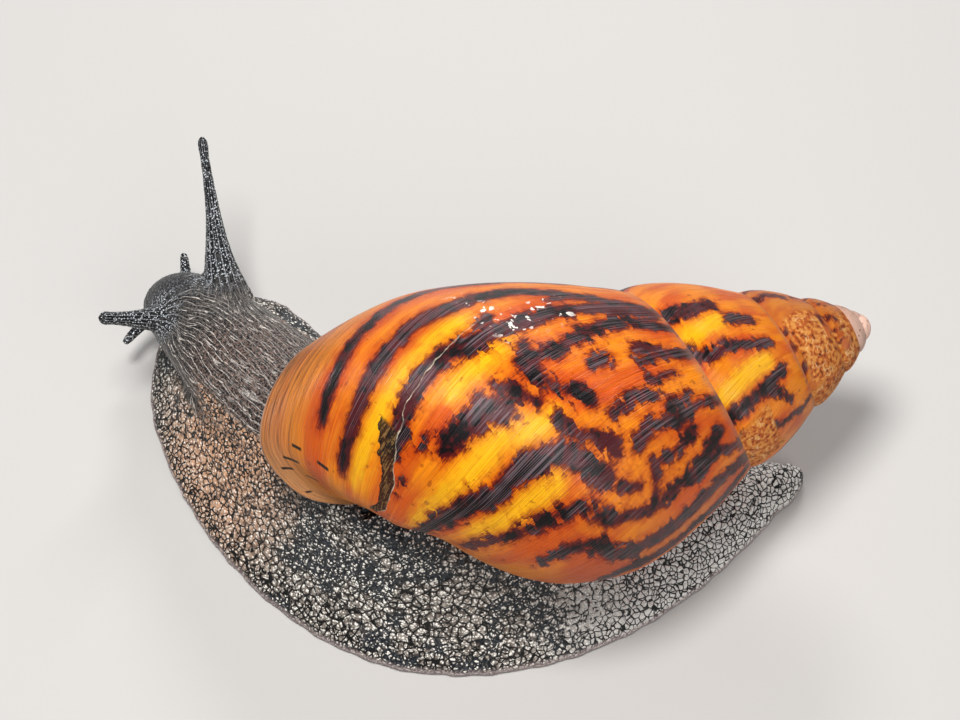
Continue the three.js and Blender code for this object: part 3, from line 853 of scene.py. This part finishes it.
def neck_ridges(where, right, left, leaning):
    # Thin ridges that run down each side of the neck from the feeler, waver, and join now and then.
    sway = grain(where, 0.08, 1.0)
    fade = grain(where, 0.3, 2.0)

    def ridge(flow):
        crests = []
        for gap, slope, waver in ((1.8, 0.012, 1.0), (2.7, -0.022, 0.7), (3.3, 0.035, -0.8)):
            wave = (flow.part("Y") / gap + flow.part("X") * slope + sway * waver + fade * 0.7).fraction()
            crests.append(1 - abs(wave - 0.5) * 2)
        first = rise(crests[0] + (fade - 0.5) * 0.5, 0.86, 1.0)
        second = rise(crests[1] - (fade - 0.5) * 0.6, 0.91, 1.0)
        third = rise(crests[2] + (fade - 0.5) * 0.9, 0.92, 1.04)
        return most(first, second, third)

    return ridge(right) * (1 - leaning) + ridge(left) * leaning


relief = bpy.data.node_groups.new("skin_relief", "GeometryNodeTree")
relief.interface.new_socket("Geometry", in_out="INPUT", socket_type="NodeSocketGeometry")
relief.interface.new_socket("Geometry", in_out="OUTPUT", socket_type="NodeSocketGeometry")
carve = Value(relief)


def kept(name, kind="FLOAT"):
    return carve.node("GeometryNodeInputNamedAttribute", {"data_type": kind}, {"Name": name})


# Heights in millimetres: the tubercles stand a little over and under the cast surface, and the neck's
# ridges on it.
FLOWS = ("place", "right_flow", "left_flow")
where, right_round, left_round = (kept(name, "FLOAT_VECTOR") for name in FLOWS)
cushion, pearl, own, border = tubercles(where, kept("low"), kept("small"))
ridge = neck_ridges(where, right_round, left_round, kept("turned_left"))
pebbled = (cushion * 0.55 - 0.4) * (1 - kept("rim") * 0.85)
ridged = ridge * 0.07 * (1 - kept("feeler")) - 0.04
lift = pebbled * (1 - kept("necky")) + ridged * kept("necky")
surface, normal = carve.node("NodeGroupInput"), carve.node("GeometryNodeInputNormal")
pushed = carve.node("ShaderNodeVectorMath", {"operation": "SCALE"}, {0: normal, "Scale": lift * 0.001})
moved = carve.node("GeometryNodeSetPosition", {}, {"Geometry": surface, "Offset": pushed})
carve.node("NodeGroupOutput", {}, {"Geometry": moved})
skin_mesh = applied(skin_mesh, "body_skin", "NODES", {"node_group": relief})

# The sole is level and in one piece, and the skin keeps within the body's size.
SOLE_HEIGHT = 0.45  # what lies lower at rest is sole, mm
relieved = np.clip(spots_of(skin_mesh), np.array(cad_box[0]) + 1e-5, np.array(cad_box[1]) - 1e-5)
relieved[:, 2] = np.where(height < SOLE_HEIGHT, 0, relieved[:, 2])
skin_mesh.vertices.foreach_set("co", relieved.ravel())
skin = bmesh.new()
skin.from_mesh(skin_mesh)
underneath = [face for face in skin.faces if all(vertex.co.z == 0 for vertex in face.verts)]
bmesh.ops.dissolve_faces(skin, faces=underneath)
skin.to_mesh(skin_mesh)
skin.free()
skin_piece = placed("body_skin", skin_mesh)

hide, paint, shader = new_material("wet_skin")


def noted(name, out="Fac"):
    return paint.node("ShaderNodeAttribute", {"attribute_name": name}, out=out)


where, right_round, left_round = (noted(name, "Vector") for name in FLOWS)
small, tailward, peach, leaning = (noted(name) for name in ("small", "tailward", "peach", "turned_left"))
necky, feeler, rim_mark, headward = (noted(name) for name in ("necky", "feeler", "rim", "headward"))
cushion, pearl, own, border = tubercles(where, noted("low"), small)
ridge = neck_ridges(where, right_round, left_round, leaning)
speck = grain(where, 2.6, 2.0)
fine = grain(where, 1.7, 2.0)
granules = rise(fine, 0.46, 0.58)
beads = rise(speck, 0.4, 0.52)

# The flank: cream grains on the tubercles, dark grooves between them in painted shade, dusky clouds and
# painted shade under the shell, peach towards the neck with a painted highlight in the middle of each peach
# tubercle.
# Dusky clouds of the skin, with painted shade on the flank high up under the shell.
dusk_and_painted_shade = rise(grain(where, 0.09, 2.0) + noted("shaded") * 0.12, 0.5, 0.63) * (1 - tailward) * (1 - peach * 0.7)
# Painted shade: the grooves between the tubercles, where this mask is 0, stay near-black.
grooves = rise(border - small * 0.05 + tailward * 0.035 + (speck - 0.5) * 0.06, 0.035, 0.12)
reach_out = border * 0.9 + (own - 0.5) * 0.4 + (speck - 0.5) * 0.4 + 0.28
reach_out = reach_out - dusk_and_painted_shade * 0.38 + peach * 0.15 + tailward * 0.7
top = grooves * rise(pearl + reach_out, 0.3, 0.6)
# Painted highlight: the middle of each peach tubercle is left white.
painted_highlight_crown = rise(pearl + (speck - 0.5) * 0.5, 0.6, 0.95)
cream = layered(
    over("8f857b", "fffaf0", rise(pearl * 0.8 + own * 0.5 + (speck - 0.5) * 0.6, 0.35, 0.9)),
    ("e2ab82", peach * (0.78 - 0.6 * painted_highlight_crown)),
    (over("d9cdc3", "fffdf8", rise(speck, 0.38, 0.5)), tailward * 0.9),
)
# The near-black ground is painted shade in the grooves; inside the tubercles it is grey, or peach by the
# neck.
pit = layered(
    "0a0908",
    (over("564d46", "8c6a56", peach), grooves * 0.85),
    (over("0d1319", "3c444c", rise(fine, 0.48, 0.6)), dusk_and_painted_shade * 0.75),
)
flank = over(pit, cream, top)

# The neck: pale ridges on dark ground, brown by the shell. The head and feelers: blue-black with grey
# beads, which on the feelers are pale painted glints drawn out lengthwise; the head's front is darker as
# painted shade.
neck_colour = layered(
    over("121112", "5f5852", granules * 0.8),
    ("84665a", rise(peach, 0.3, 1.0) * 0.55 * granules),
    ("ddd3ca", ridge * (0.4 + beads * 0.6)),
)
bead = rise(cells(where, 1.45), 0.5, 0.15)
# On the feelers these beads are near white: painted glints. On the head they are grey beads.
beads_and_painted_glints = rise(bead * (0.45 + 0.75 * cells(where, 1.45, out="Color").part("X")), 0.3, 0.62)
round_it = right_round.part("Y") * (1 - leaning) + left_round.part("Y") * leaning
wave = (round_it / 6.5 + speck * 0.25).fraction()
# Pale streaks along the feelers: painted glints drawn out lengthwise.
lengthwise = rise(abs(wave - 0.5), 0.12, 0.03) * beads * feeler
# On the head's front the ridges fade and the blue-black takes over: painted shade.
on_head = (1 - feeler * 0.6) * (1 - rise(headward, 0.55, 1.0) * 0.85)
dark_head = layered(
    "07080b",
    (over("8d939b", "e4eaee", feeler), beads_and_painted_glints * (0.5 + 0.4 * feeler)),
    ("c9ccd0", lengthwise * 0.8),
    ("b4b0ac", ridge * (0.4 + 0.6 * beads) * on_head),
    ("80736d", noted("lips") * (0.4 + 0.6 * granules) * 0.8),
    # Painted shade: the mouth's slit is painted near-black.
    ("080607", noted("slit")),
)
skin_colour = layered(
    flank,
    (over(neck_colour, dark_head, most(feeler, headward)), rise(necky + (speck - 0.5) * 0.8, 0.15, 0.75)),
    (over("93807e", "d2c2bd", granules), rim_mark * 0.85),
)
heights = pearl * grooves * 0.8 + cushion * 0.3 + ridge * necky * 0.6 + speck * 0.2 + bead * necky * 0.4
wetness = 0.4 - top * 0.14 + rim_mark * 0.1
finish(
    shader,
    {"IOR": 1.4, "Specular IOR Level": 0.5},
    {"Base Color": skin_colour, "Roughness": wetness, "Normal": bumped(paint, 1.0, 0.0004, heights)},
)
skin_mesh.materials.append(hide)
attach(skin_piece, "root")
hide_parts(*FLESH)


# ---- Mantle collar: the thick soft ring of flesh that lines the mouth of the shell and builds it.
# ---- It is cast and smoothed as the skin is. On the animal's right it is pierced by the breathing hole.
BREATHING_HOLE, OUTWARD = Vector((-0.031, 0.0085, 0.0515)), Vector((-0.38, 0.85, 0.36)).normalized()
HOLE_RADIUS, HOLE_DEPTH, HOLE_REACH = 0.0019, 0.004, 0.007
collar = bmesh.new()
collar.from_mesh(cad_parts["mantle_collar"].data)
bmesh.ops.remove_doubles(collar, verts=collar.verts, dist=1e-5)
collar_mesh = mesh_of("collar_cast", collar)
collar_mesh = applied(collar_mesh, "mantle_flesh", "REMESH", {"mode": "VOXEL", "voxel_size": VOXEL})
collar = bmesh.new()
collar.from_mesh(collar_mesh)
smoothed(collar, 16)
hollow = collar.verts.layers.float.new("hollow")
for vertex in collar.verts:
    away = vertex.co - BREATHING_HOLE
    beside = (away - OUTWARD * away.dot(OUTWARD)).length
    vertex[hollow] = math.exp(-((beside / HOLE_RADIUS) ** 2)) * float(away.length < HOLE_REACH)
    vertex.co -= OUTWARD * HOLE_DEPTH * vertex[hollow]
collar.to_mesh(collar_mesh)
collar.free()
collar_piece = placed("mantle_flesh", collar_mesh)
mantle, paint, shader = new_material("mantle_flesh")
where = paint.node("ShaderNodeTexCoord", out="Object")
dapple = rise(grain(where, 420, 3.0), 0.42, 0.6)
mantle_colour = layered(
    over("4b4038", "a08a72", dapple),
    ("b98f6a", rise(grain(where, 120, 2.0), 0.5, 0.65) * 0.5),
    # Painted shade: the inside of the breathing hole is painted near-black.
    ("140c09", rise(noted("hollow"), 0.3, 0.7)),
)
moist = 0.5 - dapple * 0.15
finish(
    shader,
    {"IOR": 1.4, "Coat Weight": 0.4, "Coat Roughness": 0.15},
    {"Base Color": mantle_colour, "Roughness": moist, "Normal": bumped(paint, 0.5, 0.0003, dapple)},
)
collar_mesh.materials.append(mantle)
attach(collar_piece, "root")
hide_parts("mantle_collar")


# ---- Eyes: a small dark ball in the tip of each upper feeler, clear and wet over a nearly black cup.
# ---- Each is a plain ball about the middle of the solid eye, as large as that is high.
for side in ("right", "left"):
    lowest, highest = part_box("eye_" + side)
    middle, radius = Matrix.Translation((lowest + highest) / 2), (highest - lowest).z / 2
    eye = bmesh.new()
    bmesh.ops.create_uvsphere(eye, u_segments=36, v_segments=24, radius=radius, matrix=middle)
    eye_mesh = mesh_of("eyeball_" + side, eye)
    eye_piece = placed("eyeball_" + side, eye_mesh)
    cup, paint, shader = new_material("eye_cup_" + side)
    where = paint.node("ShaderNodeTexCoord", out="Object")
    rings = rise(grain(where, 1800, 2.0), 0.45, 0.65)
    finish(
        shader,
        {"IOR": 1.42, "Coat Weight": 1.0, "Coat Roughness": 0.04},
        {"Base Color": over("08080a", "2a2622", rings), "Roughness": 0.25 + rings * 0.1},
    )
    eye_mesh.materials.append(cup)
    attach(eye_piece, "root")
    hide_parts("eye_" + side)


# ---- Floor and studio lights: a plain pale sheet, and three round soft lamps in a faintly lit room.
# ---- The strongest hangs above the shell, a wide one stands on the near side towards the tail, and one on
# ---- the far side lifts the edges.
floor = bmesh.new()
bmesh.ops.create_grid(floor, x_segments=1, y_segments=1, size=3)
floor_mesh = mesh_of("floor", floor)
floor_piece = placed("floor", floor_mesh, smooth=False)
floor_material, paint, shader = new_material("floor")
finish(shader, {"Base Color": colour("bfbcb8"), "Roughness": 0.8}, {})
floor_mesh.materials.append(floor_material)
LIT_SPOT = Vector((0, 0, 0.03))  # the point that all the lamps face


def soft_light(name, place, size, power):
    # A round lamp of a size in metres and a power in watts.
    lamp = bpy.data.lights.new(name, "AREA")
    lamp.shape = "DISK"
    lamp.size = size
    lamp.energy = power
    lamp_piece = bpy.data.objects.new(name, lamp)
    scene.collection.objects.link(lamp_piece)
    lamp_piece.location = place
    lamp_piece.rotation_euler = (Vector(place) - LIT_SPOT).to_track_quat("Z", "Y").to_euler()


soft_light("key_light", (-0.14, -0.08, 0.95), 0.3, 9.4)
soft_light("fill_light", (0.5, -0.75, 0.7), 0.7, 3.4)
soft_light("back_light", (0.1, 0.85, 0.55), 0.3, 4.5)
world = bpy.data.worlds.new("studio")
world.use_nodes = True
world.node_tree.nodes["Background"].inputs["Color"].default_value = (0.9, 0.93, 1, 1)
world.node_tree.nodes["Background"].inputs["Strength"].default_value = 0.2
scene.world = world
scene.view_settings.view_transform = "Standard"
